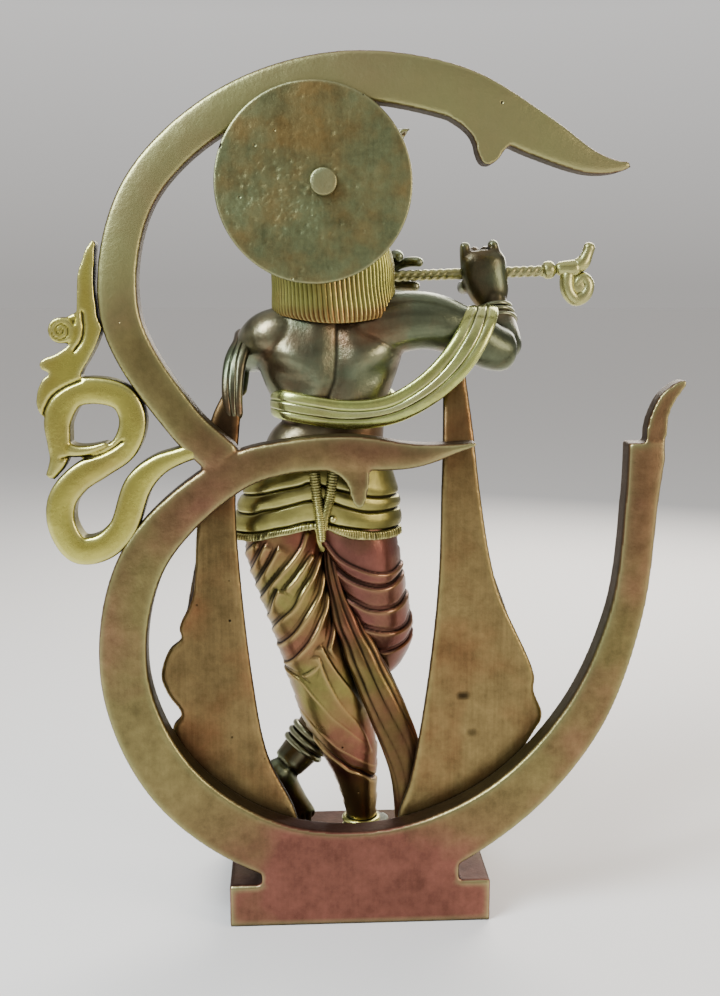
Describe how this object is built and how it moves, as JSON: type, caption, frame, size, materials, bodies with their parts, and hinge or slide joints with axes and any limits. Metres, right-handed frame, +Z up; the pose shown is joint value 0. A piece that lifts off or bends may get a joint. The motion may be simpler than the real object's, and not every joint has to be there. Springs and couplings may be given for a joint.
{
  "type": "krishna figure",
  "caption": "Cast brass flute player with crossed legs, shawl and halo disc, standing on a block in front of a large upright Om.",
  "frame": {"origin": "centre of the block's underside", "axes": "+Z up; the figure faces -Y, so its back and the halo look along +Y; X runs across the statue"},
  "size_m": [0.2094, 0.0673, 0.29],
  "materials": {
    "om_bronze": "cast brass with an olive-brown patina, rubbed bright on the crown of the bar, copper-red near the block",
    "figure_bronze": "cast brass, dark patina in the hollows, yellow shawl and waistband, coppery wrapped cloth",
    "halo_bronze": "cast disc with olive patina, pits and brown stains",
    "pin_bronze": "cut pin end, dull olive",
    "flute_brass": "yellow cast brass"
  },
  "bodies": {
    "root": {"om_frame": "om_bronze", "krishna_figure": "figure_bronze", "halo_disc": "halo_bronze", "halo_pin": "pin_bronze", "flute": "flute_brass"}
  },
  "joints": []
}
